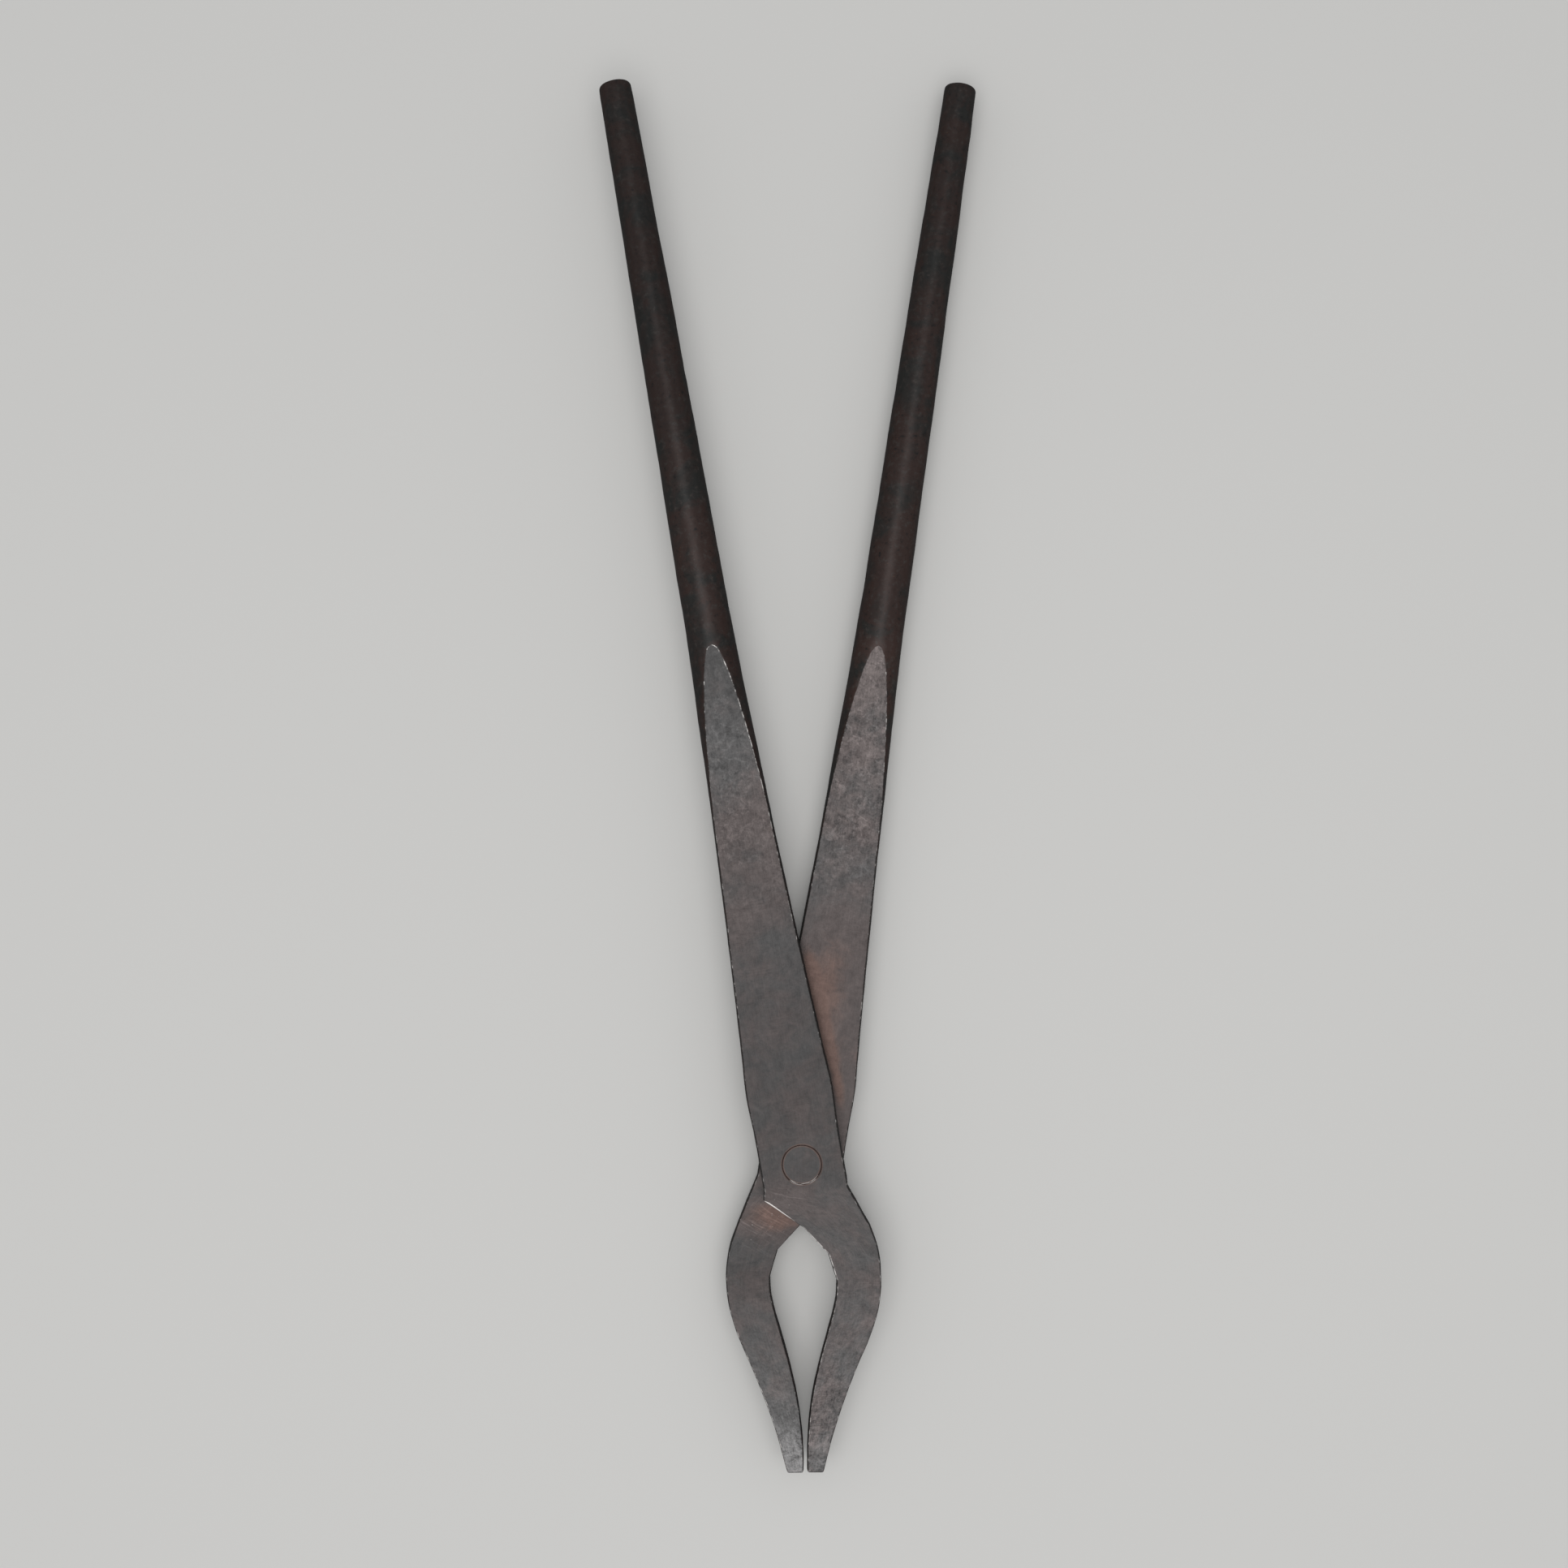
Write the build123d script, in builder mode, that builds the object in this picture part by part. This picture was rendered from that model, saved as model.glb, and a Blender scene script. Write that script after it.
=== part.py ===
"""Blacksmith's tongs, about 400 mm long: two identical forged halves crossed on one flush rivet.

Millimetres. +Z runs along the rivet, +Y points from the rivet to the reins, and the jaws point to -Y.
The origin is on the rivet's axis, at the outer face of the back half's boss.
At rest the jaw tips stand TIP_GAP apart and each rein leans REIN_LEAN off the centre line.
"""

import os

from build123d import *

# The forged plate: blade, boss and jaw are all drawn down to this thickness.
PLATE = 6.0
LAP_GAP = 0.2  # running gap between the two bosses
LAP_MIDDLE = PLATE + LAP_GAP / 2  # height of the plane where the two halves meet
LEVEL = (PLATE + LAP_GAP) / 2  # from that plane to the middle of each plate

# The straight bar of one half, measured from the rivet along the rein.
REIN_LEAN = 9.15  # degrees off the centre line, at rest
REIN_END = 314.6
REIN_END_R = 4.55
REIN_END_ROUNDING = 2.0
REIN_ROOT = 150.0  # where the flats run out into the round rein
REIN_ROOT_R = 6.9
BLADE_MIDDLE = 90.0
BLADE_MIDDLE_R = 8.97
BLADE_WIDEST = 22.0
BLADE_WIDEST_R = 12.5
BOSS_TOP = 10.0  # the boss keeps one width from here down
BOSS_R = 12.1
BAR_END = -6.0  # inside the root of the jaw
FLATS_PARALLEL = 102.0  # the flats are parallel from here to the boss, and slope beyond
FLATS_BLEND_R = 200.0

# The shoulder: the lower end of the boss, which runs from a corner to the throat of the jaws.
SHOULDER_TOP = (-11.7, -2.2)
SHOULDER_CORNER = (-11.2, -10.3)
THROAT = (0.0, -18.0)

# The jaw of the front half, in the plane of the tongs at rest.
TIP_Y = -89.0
TIP_GAP = 0.9
TIP_INNER = (TIP_GAP / 2, TIP_Y)
TIP_OUTER = (5.35, TIP_Y)
BITE = (0.75, -79.0)  # inner edge where the tips begin to run parallel
BOW_WAIST = (3.65, -60.0)
BOW_INNER = (9.5, -33.5)  # widest point of the bow, inside
BOW_SHOULDER = (7.1, -25.6)
OUTER_LOW = (9.2, -75.5)
OUTER_MIDDLE = (15.9, -57.5)
BOW_OUTER = (22.3, -33.0)  # widest point of the bow, outside
OUTER_HIGH = (20.1, -21.0)
NECK_OUTER = (12.9, -5.2)  # where the jaw's back leaves the boss
ROOT_RIGHT = (10.0, 0.0)
CORNER_EASING = 1.2
EDGE_BREAK = 0.4
EASED_BELOW = -15.0  # the jaw's walls below this height have their rims broken

# Each jaw is set gently across the lap, so that the two tips meet in its middle plane.
SET_START = -24.0
SET_END = -68.0
SET_R = 200.0

# The rivet, hammered into a countersink at each end and dressed flush.
RIVET_R = 4.75
RIVET_HEAD_R = 5.5
RIVET_HEAD_DEPTH = 2.4
RUNNING_CLEARANCE = 0.07  # radial, between the rivet and the front half

TALL = 4 * PLATE  # for cutters that pass right through


def near(vertex, point):
    """True where a sketch's corner stands on the named point."""
    return abs(vertex.X - point[0]) + abs(vertex.Y - point[1]) < 1e-4


def forge_bar():
    """The round rein, the flats cut into both its faces, and the boss, along +Y from the rivet."""
    with BuildPart() as bar:
        with BuildSketch(Plane.XY):
            with BuildLine():
                ThreePointArc(
                    (REIN_ROOT_R, REIN_ROOT),
                    (BLADE_MIDDLE_R, BLADE_MIDDLE),
                    (BLADE_WIDEST_R, BLADE_WIDEST),
                )
                Polyline(
                    (BLADE_WIDEST_R, BLADE_WIDEST),
                    (BOSS_R, BOSS_TOP),
                    (BOSS_R, BAR_END),
                    (0, BAR_END),
                    (0, REIN_END),
                    (REIN_END_R, REIN_END),
                    (REIN_ROOT_R, REIN_ROOT),
                )
            make_face()
        revolve(axis=Axis.Y)
        fillet(bar.edges().sort_by(Axis.Y)[-1], REIN_END_ROUNDING)
        with BuildSketch(Plane.YZ) as flats:
            with BuildLine():
                Polyline(
                    (BAR_END, -PLATE / 2),
                    (FLATS_PARALLEL, -PLATE / 2),
                    (REIN_ROOT, -REIN_ROOT_R),
                    (REIN_END, -2 * REIN_ROOT_R),
                    (REIN_END, 2 * REIN_ROOT_R),
                    (REIN_ROOT, REIN_ROOT_R),
                    (FLATS_PARALLEL, PLATE / 2),
                    (BAR_END, PLATE / 2),
                    close=True,
                )
            make_face()
            fillet([v for v in flats.vertices() if near(v, (FLATS_PARALLEL, v.Y))], FLATS_BLEND_R)
        extrude(amount=TALL, both=True, mode=Mode.INTERSECT)
    return bar.part


def forge_jaw():
    """The bowed jaw with its root in the boss and its set across the lap; the root is centred on z = 0."""
    with BuildPart() as jaw:
        with BuildSketch(Plane.XY) as outline:
            with BuildLine():
                Polyline(SHOULDER_TOP, SHOULDER_CORNER, THROAT, BOW_SHOULDER, BOW_INNER)
                Spline(BOW_INNER, BOW_WAIST, BITE, TIP_INNER, tangents=[(0.02, -1), (-0.01, -1)])
                Line(TIP_INNER, TIP_OUTER)
                Spline(
                    TIP_OUTER,
                    OUTER_LOW,
                    OUTER_MIDDLE,
                    BOW_OUTER,
                    OUTER_HIGH,
                    NECK_OUTER,
                    tangents=[(0.24, 1), (-0.5, 1)],
                )
                Polyline(NECK_OUTER, ROOT_RIGHT, SHOULDER_TOP)
            make_face()
            bow_corners = [v for v in outline.vertices() if near(v, BOW_SHOULDER) or near(v, BOW_INNER)]
            fillet(bow_corners, CORNER_EASING)
        extrude(amount=TALL, both=True)
        with BuildSketch(Plane.YZ) as side:
            with BuildLine():
                Polyline(
                    (TALL, -PLATE / 2),
                    (SET_START, -PLATE / 2),
                    (SET_END, -PLATE / 2 - LEVEL),
                    (2 * TIP_Y, -PLATE / 2 - LEVEL),
                    (2 * TIP_Y, PLATE / 2 - LEVEL),
                    (SET_END, PLATE / 2 - LEVEL),
                    (SET_START, PLATE / 2),
                    (TALL, PLATE / 2),
                    close=True,
                )
            make_face()
            fillet([v for v in side.vertices() if TIP_Y < v.X < 0], SET_R)
        extrude(amount=TALL, both=True, mode=Mode.INTERSECT)
        upright = [f for f in jaw.faces() if abs(f.normal_at().Z) < 0.01]
        walls = ShapeList([f for f in upright if f.center().Y < EASED_BELOW])
        fillet([e for e in walls.edges() if abs((e % 0.5).Z) < 0.99], EDGE_BREAK)
    return jaw.part


def rivet_section(clearance):
    """Half-section of the rivet, or of its countersunk hole when given a clearance."""
    top = 2 * LAP_MIDDLE
    shank = RIVET_R + clearance
    head = RIVET_HEAD_R + clearance
    with BuildSketch(Plane.XZ) as section:
        with BuildLine():
            Polyline(
                (0, 0),
                (head, 0),
                (shank, RIVET_HEAD_DEPTH),
                (shank, top - RIVET_HEAD_DEPTH),
                (head, top),
                (0, top),
                close=True,
            )
        make_face()
    return section.sketch


front_level = Location((0, 0, LAP_MIDDLE + LEVEL))
front_bar = forge_bar().rotate(Axis.Z, REIN_LEAN).moved(front_level)
front_jaw = forge_jaw().moved(front_level)
turning_axis = Axis((0, 0, LAP_MIDDLE), (0, 1, 0))  # the back half is the same forging, turned over

with BuildPart() as front_half:
    add(front_bar)
    add(front_jaw)
    revolve(rivet_section(RUNNING_CLEARANCE), axis=Axis.Z, mode=Mode.SUBTRACT)

with BuildPart() as back_half:
    add(front_bar.rotate(turning_axis, 180))
    add(front_jaw.rotate(turning_axis, 180))
    revolve(rivet_section(0), axis=Axis.Z, mode=Mode.SUBTRACT)

with BuildPart() as pivot_rivet:
    revolve(rivet_section(0), axis=Axis.Z)

front_half.part.label = "front_half"
back_half.part.label = "back_half"
pivot_rivet.part.label = "pivot_rivet"

os.makedirs("parts", exist_ok=True)
for piece in (front_half.part, back_half.part, pivot_rivet.part):
    export_step(piece, "parts/" + piece.label + ".step")
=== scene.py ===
"""Blacksmith's tongs: the looks of the two forged halves and their rivet, on a pale floor under soft light.

Lengths are in millimetres until a mesh is made. The front half is made in its place, outer face up.
The back half is made the same way and turned over.
"""

import math

import bpy
import numpy as np
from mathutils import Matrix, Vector


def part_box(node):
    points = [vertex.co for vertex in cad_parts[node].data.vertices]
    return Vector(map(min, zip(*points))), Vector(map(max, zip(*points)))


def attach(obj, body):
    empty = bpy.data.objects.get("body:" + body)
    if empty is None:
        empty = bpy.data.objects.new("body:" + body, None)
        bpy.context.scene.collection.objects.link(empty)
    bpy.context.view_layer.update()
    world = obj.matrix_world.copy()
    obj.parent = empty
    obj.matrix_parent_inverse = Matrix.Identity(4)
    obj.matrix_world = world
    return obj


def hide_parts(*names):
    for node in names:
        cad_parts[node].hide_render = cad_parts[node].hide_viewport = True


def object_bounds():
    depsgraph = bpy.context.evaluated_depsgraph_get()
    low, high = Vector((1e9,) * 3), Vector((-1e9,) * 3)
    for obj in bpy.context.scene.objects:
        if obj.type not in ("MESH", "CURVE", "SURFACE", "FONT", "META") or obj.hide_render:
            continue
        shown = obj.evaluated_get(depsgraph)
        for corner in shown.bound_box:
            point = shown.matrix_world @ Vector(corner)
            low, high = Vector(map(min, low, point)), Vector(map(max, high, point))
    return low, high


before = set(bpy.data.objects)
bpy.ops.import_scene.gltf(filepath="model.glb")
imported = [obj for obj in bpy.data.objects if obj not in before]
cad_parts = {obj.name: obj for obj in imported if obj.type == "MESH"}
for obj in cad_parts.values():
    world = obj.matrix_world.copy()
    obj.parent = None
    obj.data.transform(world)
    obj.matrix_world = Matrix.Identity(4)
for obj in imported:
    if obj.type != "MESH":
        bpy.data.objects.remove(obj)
cad_low, cad_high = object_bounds()

MM = 0.001

# ---------------------------------------------------------------- sizes, in millimetres
rivet_low, rivet_high = (np.array(corner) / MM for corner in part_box("pivot_rivet"))
STACK = rivet_high[2] - rivet_low[2]  # both plates and the gap between them
LAP_MIDDLE = rivet_low[2] + STACK / 2
PLATE = 6.0
HALF_PLATE = PLATE / 2
LEVEL = (STACK - PLATE) / 2  # from the lap's middle plane to the middle of a plate

LEAN = math.radians(9.15)
ALONG = np.array([-math.sin(LEAN), math.cos(LEAN)])  # from the rivet up the front half's rein
ACROSS = np.array([math.cos(LEAN), math.sin(LEAN)])

REIN_END = 314.1
REIN_END_R = 4.58
REIN_END_ROUNDING = 1.4
REIN_END_CROWN = 0.08
REIN_ROOT = 150.0  # where the flats run out into the round rein
REIN_ROOT_R = 6.9
FLATS_PARALLEL = 102.0  # the flats are parallel from here to the boss, and slope beyond
FLATS_BLEND = 9.0
FLATS_DIP = 0.3 * FLATS_BLEND  # a slight hollow where the slope starts
FLATS_DIP_LENGTH = 14.0
ROUND_FROM = REIN_ROOT + 12  # no trace of the flats beyond
NO_FLAT = 50.0  # a height that cuts nothing off the round
BOSS_TOP = 14.0
BOSS_LOWEST_ROW = -6.0
# half width of the bar against the distance from the rivet
BAR_HALF_WIDTH = (
    (-8.0, 12.1),
    (10.0, 12.12),
    (22.0, 12.5),
    (31.0, 11.9),
    (46.0, 11.05),
    (69.0, 9.9),
    (90.0, 8.95),
    (111.0, 8.25),
    (130.0, 7.55),
    (REIN_ROOT, REIN_ROOT_R),
    (178.0, 6.48),
    (218.0, 5.98),
    (268.0, 5.3),
    (REIN_END, REIN_END_R),
)
# how far each half's flats drop at the tip of their arch, and where that starts and ends
FRONT_ARCH_STEP = 0.14
BACK_ARCH_STEP = 0.05
STEP_START = 112.0
STEP_RISE = 25.0
STEP_END = REIN_ROOT + 1
STEP_FALL = 1.6

SHOULDER_CORNER = (-11.2, -10.3)
THROAT = (0.0, -17.9)
BOW_SHOULDER = (7.1, -25.6)
BOW_WIDE = (9.5, -33.4)
BOW_BACK = (19.1, -18.0)  # where the straight neck runs into the bow
# each half's neck corner, and how far its bow starts outside BOW_BACK
FRONT_NECK = (13.0, -6.3, 0.4)
BACK_NECK = (13.0, -4.4, -0.4)
TIP_Y = -89.0
TIP_ROUNDING = 0.35
TIP_CROWN = 0.12
# x of the jaw's two edges against y
JAW_OUTSIDE = (
    (BOW_BACK[1], BOW_BACK[0]),
    (-24.0, 21.2),
    (-33.0, 22.35),
    (-40.5, 21.8),
    (-49.0, 19.45),
    (-58.5, 15.45),
    (-67.8, 11.75),
    (-76.5, 8.75),
    (TIP_Y, 5.35),
)
JAW_INSIDE = (
    (-33.4, 9.5),
    (-37.5, 9.3),
    (-42.0, 8.5),
    (-49.0, 6.6),
    (-58.0, 4.15),
    (-67.8, 2.0),
    (-76.5, 0.9),
    (-83.0, 0.5),
    (TIP_Y, 0.45),
)
SIDE_DRAFT = 0.26  # how far the jaw's side walls stand out in their middle
# the jaw moves across the lap between these two heights
SET_START = -24.0
SET_END = -68.0
SET_EASING = 9.0

HEAD_HOLE_R = 5.58
LAP_HOLE_R = 4.86
HEAD_R = 5.54
SHANK_R = 4.72
COUNTERSINK = 2.4

# how much the arrises are rounded: on average, how much that varies, least and most
WORN_R = 0.24
WORN_R_VARIES = 0.08
WORN_R_LEAST = 0.1
WORN_R_MOST = 0.5
# height of the uneven forging
FLAT_ROUGHNESS = 0.05
LAP_ROUGHNESS = 0.012  # on the faces that lie on each other, which end LAP_END from the rivet
LAP_END = 90.0
REIN_ROUGHER = 1.2  # times as rough as the flats
HAMMER_SHARE = 0.45  # height of the hammer's small marks, as a share of the broad unevenness
# out from the rivet's seam the forging is even at CALM_FROM and fully rough CALM_LENGTH further on
CALM_FROM = -0.5
CALM_LENGTH = 3.0

# ---------------------------------------------------------------- finish of each half, with painted light and shade
# The front half's edge crosses the back blade between the boss and the fork. Along that line the blade
# has a painted shadow of the front half, and a copper stain beyond it.
CROSSING_START = 8.0
CROSSING_RISE = 12.0
FORK = 66.0
FORK_FADE = 14.0
PAINTED_SHADOW_DEPTH = 0.3
PAINTED_SHADOW_WIDTH = 1.1
STAIN = 1.7
STAIN_MIDDLE = 1.6  # from the front half's edge
STAIN_WIDTH = 1.8
UNSEEN_SCRAPE = 0.3  # how strong the scrapes are on the faces that look down
# Each curve is read against the distance from the rivet. The first multiplies the colour: partly the
# steel's own tone and partly painted light and shade, lighter towards the jaws' tips, and on the rein
# lighter near its root than towards its end. brown and rubbed say how brown and how marked the surface
# is. keen_right and keen_left say how brightly each long edge is worn.
# The patches and scrapes are ovals seen in place: x, y, half length along x and along y, strength.
FRONT_FINISH_AND_PAINTED_LIGHT = {
    "painted_light_and_tone": (
        (315, 0.74), (268, 0.66), (218, 0.74), (178, 1.02), (160, 1.0), (149, 0.87), (140, 0.90),
        (122, 1.08), (100, 1.02), (66, 0.90), (31, 0.82), (0, 0.85), (-6, 0.90), (-10, 1.05),
        (-14, 1.02), (-35, 1.12), (-65, 1.48), (-80, 1.42), (-90, 1.68),
    ),
    "brown": (
        (315, 0.3), (150, 0.0), (125, 0.1), (112, 0.35), (100, 0.9), (84, 0.7), (66, 0.35),
        (31, 0.4), (0, 0.4), (-30, 0.45), (-65, 0.4), (-90, 0.35),
    ),
    "rubbed": (
        (160, 0.8), (147, 1.3), (125, 1.9), (95, 1.8), (66, 1.3), (31, 1.1), (0, 1.1),
        (-35, 1.4), (-65, 2.1), (-90, 3.0),
    ),
    "keen_right": (
        (315, 0), (153, 0), (150, 1.3), (147, 1.1), (122, 0.9), (100, 1.0), (90, 0.4),
        (20, 0.3), (-20, 0.35), (-50, 0.5), (-90, 0.5),
    ),
    "keen_left": (
        (315, 0), (153, 0), (150, 0.9), (147, 0.3), (135, 0.35), (40, 0.3), (-2, 0.3),
        (-8.6, 0.8), (-9.2, 6.5), (-12, 5.6), (-16.5, 2.4), (-18.5, 0.8), (-21, 1.5),
        (-33, 1.9), (-45, 0.8), (-60, 0.9), (-90, 0.9),
    ),
    "brown_patches": ((-4, -10, 9, 6, 0.7),),
    "scrapes": ((-5, -10, 9, 4.5, 1.0),),
}
BACK_FINISH_AND_PAINTED_LIGHT = {
    "painted_light_and_tone": (
        (315, 0.78), (268, 0.76), (218, 0.92), (178, 1.02), (160, 1.0), (147, 1.36), (125, 1.16),
        (102, 1.08), (66, 0.98), (31, 1.0), (0, 0.95), (-15, 1.02), (-35, 0.78), (-65, 1.17),
        (-80, 1.4), (-90, 2.6),
    ),
    "brown": (
        (315, 0.9), (150, 0.8), (125, 0.65), (102, 0.65), (75, 0.5), (60, 0.9), (31, 1.0),
        (0, 0.6), (-40, 0.45), (-65, 0.35), (-90, 0.0),
    ),
    "rubbed": (
        (160, 0.8), (147, 2.0), (125, 2.5), (95, 2.3), (70, 1.2), (31, 1.0), (0, 1.0),
        (-35, 1.3), (-65, 1.7), (-90, 3.0),
    ),
    "keen_right": (
        (315, 0), (150, 0.1), (135, 0.3), (30, 0.25), (-20, 0.3), (-45, 0.5), (-60, 1.3),
        (-85, 1.2), (-90, 0.7),
    ),
    "keen_left": (
        (315, 0), (150, 0.1), (135, 0.5), (100, 0.45), (30, 0.4), (-20, 0.2), (-60, 0.2),
        (-90, 0.3),
    ),
    "brown_patches": ((9, 52, 5, 16, 1.1), (-8, -16, 9, 5, 1.9)),
    "scrapes": ((-12, -19, 8, 7, 1.6), (17, 99, 8, 3, 0.9)),
}


# ---------------------------------------------------------------- curves and noise
def smooth(x):
    x = np.clip(x, 0.0, 1.0)
    return x * x * (3 - 2 * x)


def curve(points, at):
    """A smooth curve through (position, value) points, read at the given positions."""
    table = np.array(sorted(points))
    x, y = table[:, 0], table[:, 1]
    slope = np.gradient(y, x)
    at = np.clip(at, x[0], x[-1])
    i = np.clip(np.searchsorted(x, at) - 1, 0, len(x) - 2)
    step = x[i + 1] - x[i]
    t = (at - x[i]) / step
    from_start = (2 * t**3 - 3 * t**2 + 1) * y[i] + (t**3 - 2 * t**2 + t) * slope[i] * step
    from_end = (3 * t**2 - 2 * t**3) * y[i + 1] + (t**3 - t**2) * slope[i + 1] * step
    return from_start + from_end


def follow(points, at):
    """Straight lines through (position, value) points, read at the given positions."""
    table = np.array(sorted(points), float)
    return np.interp(at, table[:, 0], table[:, 1])


def evenly_spaced(points, count):
    """Points at equal steps along the straight lines through the given ones."""
    corners = np.array(points)
    lengths = np.linalg.norm(np.diff(corners, axis=0), axis=1)
    reached = np.concatenate([[0], np.cumsum(lengths)])
    wanted = np.linspace(0, reached[-1], count)
    return np.stack([np.interp(wanted, reached, corners[:, k]) for k in (0, 1)], 1)


def waves(points, rng, shortest, longest, count=18):
    """A soft random field about 1 high, made of waves between the two lengths."""
    total = np.zeros(len(points))
    for _ in range(count):
        heading = rng.normal(size=3)
        heading /= np.linalg.norm(heading)
        length = math.exp(rng.uniform(math.log(shortest), math.log(longest)))
        total += np.sin(points @ heading * (2 * math.pi / length) + rng.uniform(0, 2 * math.pi))
    return total * math.sqrt(2.0 / count) * 0.7


def patches(x, y, spots):
    """Soft oval spots added together."""
    total = np.zeros(np.shape(x))
    for at_x, at_y, long_x, long_y, strength in spots:
        total += strength * np.exp(-(((x - at_x) / long_x) ** 2) - ((y - at_y) / long_y) ** 2)
    return total


def soft_min(a, b, width):
    """The smaller of two numbers, rounded over the given width where they meet."""
    return 0.5 * (a + b - np.sqrt((a - b) ** 2 + width**2))


# ---------------------------------------------------------------- the plan of one half
ROW_STEP = 0.5  # between the sections of the boss
END_ROWS = 6  # on the flat of the rein's end, on its rounding, and on the way to the shoulder
END_FIRST_R = 0.35
REIN_ROWS = 190
BLADE_ROWS = 255
BLADE_TOP = REIN_ROOT + 5  # the rows are closer from here down
SHOULDER_ROWS = 25
BOW_ROWS = 16
JAW_ROWS = 100
JAW_ROWS_END = 0.9  # the even rows of the jaw end this far above the tip
TIP_ROWS = (0.55, 0.3, 0.12, 0.03)  # the rows after them, also from the tip


def bar_sections():
    """Distance from the rivet and half width of the bar's sections, from the rein's end to the boss."""
    corner = REIN_END_R - REIN_END_ROUNDING
    face_r = np.linspace(END_FIRST_R, corner, END_ROWS)
    face = REIN_END + REIN_END_CROWN * (1 - (face_r / REIN_END_R) ** 2)
    turn = np.linspace(0, math.pi / 2, END_ROWS + 1)[1:]
    rounding = REIN_END - REIN_END_ROUNDING * (1 - np.cos(turn))
    rounding_r = corner + REIN_END_ROUNDING * np.sin(turn)
    rein = np.linspace(REIN_END - REIN_END_ROUNDING, BLADE_TOP, REIN_ROWS)[1:]
    blade = np.linspace(BLADE_TOP, BOSS_TOP, BLADE_ROWS)[1:]
    boss = np.arange(BOSS_TOP - ROW_STEP, BOSS_LOWEST_ROW - ROW_STEP / 2, -ROW_STEP)
    sides = np.concatenate([rein, blade, boss])
    path = np.concatenate([face, rounding, sides])
    half = np.concatenate([face_r, rounding_r, curve(BAR_HALF_WIDTH, sides)])
    return path, half


def rails(neck):
    """Both edges of every section, the distance from the rivet, and how many sections are the bar's."""
    neck_x, neck_y, bow_offset = neck
    path, half = bar_sections()
    centre = path[:, None] * ALONG
    left = centre - half[:, None] * ACROSS
    right = centre + half[:, None] * ACROSS

    # the end of the boss: the left edge turns the shoulder while the right one goes down the neck
    to_corner = evenly_spaced([left[-1], SHOULDER_CORNER], END_ROWS)[1:]
    shoulder = evenly_spaced([SHOULDER_CORNER, THROAT], SHOULDER_ROWS)[1:]
    turn_left = np.concatenate([to_corner, shoulder])
    turn_y = np.linspace(right[-1][1], THROAT[1], len(turn_left) + 1)[1:]
    bow_back_x = BOW_BACK[0] + bow_offset
    neck_line = [(right[-1][1], right[-1][0]), (neck_y, neck_x), (BOW_BACK[1], bow_back_x)]
    turn_right = np.stack([follow(neck_line, turn_y), turn_y], 1)

    jaw_y = np.concatenate(
        [
            np.linspace(THROAT[1], BOW_SHOULDER[1], BOW_ROWS)[1:],
            np.linspace(BOW_SHOULDER[1], BOW_WIDE[1], BOW_ROWS)[1:],
            np.linspace(BOW_WIDE[1], TIP_Y + JAW_ROWS_END, JAW_ROWS)[1:],
            TIP_Y + np.array(TIP_ROWS),
        ]
    )
    bow_line = [(y, x) for x, y in (THROAT, BOW_SHOULDER, BOW_WIDE)]
    inside = np.where(jaw_y > BOW_WIDE[1], follow(bow_line, jaw_y), curve(JAW_INSIDE, jaw_y))
    above_widest = smooth((jaw_y - BOW_WIDE[1]) / (BOW_BACK[1] - BOW_WIDE[1]))
    outside = curve(JAW_OUTSIDE, jaw_y) + bow_offset * above_widest
    outside = np.where(jaw_y > BOW_BACK[1], follow(neck_line, jaw_y), outside)

    left = np.concatenate([left, turn_left, np.stack([inside, jaw_y], 1)])
    right = np.concatenate([right, turn_right, np.stack([outside, jaw_y], 1)])
    bar_rows = len(path)
    step = np.linalg.norm(np.diff((left + right) / 2, axis=0), axis=1)
    path = np.concatenate([path, path[-1] - np.cumsum(step[bar_rows - 1 :])])
    return left, right, path, bar_rows


def jaw_set(y):
    """How far the middle of the jaw has moved across the lap."""
    share = smooth((SET_START + SET_EASING / 2 - y) / (SET_START - SET_END + SET_EASING))
    return -LEVEL * share


# ---------------------------------------------------------------- one half as a grid of points
FLAT_INNER = 30  # columns across a flat, between its two edge bands
EDGE_SHARES = (0.0, 0.17, 0.46)  # the columns of an edge band, as shares of its width
EDGE_BANDS = len(EDGE_SHARES)
EDGE_BAND = 0.6
EDGE_BAND_MOST = 0.2  # of the flat's half width
FLAT_COLUMNS = FLAT_INNER + 2 * EDGE_BANDS
SIDE_STEPS = np.array([1, 0.965, 0.89, 0.74, 0.5, 0.25, 0, -0.25, -0.5, -0.74, -0.89, -0.965, -1])
SIDE_COLUMNS = len(SIDE_STEPS) - 1
LOOP = 2 * (FLAT_COLUMNS + 1) + 2 * (SIDE_COLUMNS - 1)
MIDDLE = FLAT_COLUMNS // 2
HOLE_ROWS = 8  # the hole takes this many rows and columns each way from the rivet
HOLE_COLUMNS = 5
HOLE_REACH = 2.1  # how many times that the rows and columns are still bent round the hole
HOLE_OUTER_R = 8.4
# on the round rein the columns of a flat take this much of the section, in degrees from its top
ARCH_STRIP = 24.0
REIN_STRIP = 65.0
STRIP_CHANGE = 45.0  # from one to the other
# a point is on a flat above this share of its height, and the ground steel ends this far past the arch
ON_FLAT = 0.8
PAST_ARCH = 0.3
OFF_FLAT = -5.0
END_RAISED = 0.02  # the middle of the rein's end


def under(column):
    """The column of the lower flat that lies under a column of the upper flat."""
    return 2 * FLAT_COLUMNS + SIDE_COLUMNS - column


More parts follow.
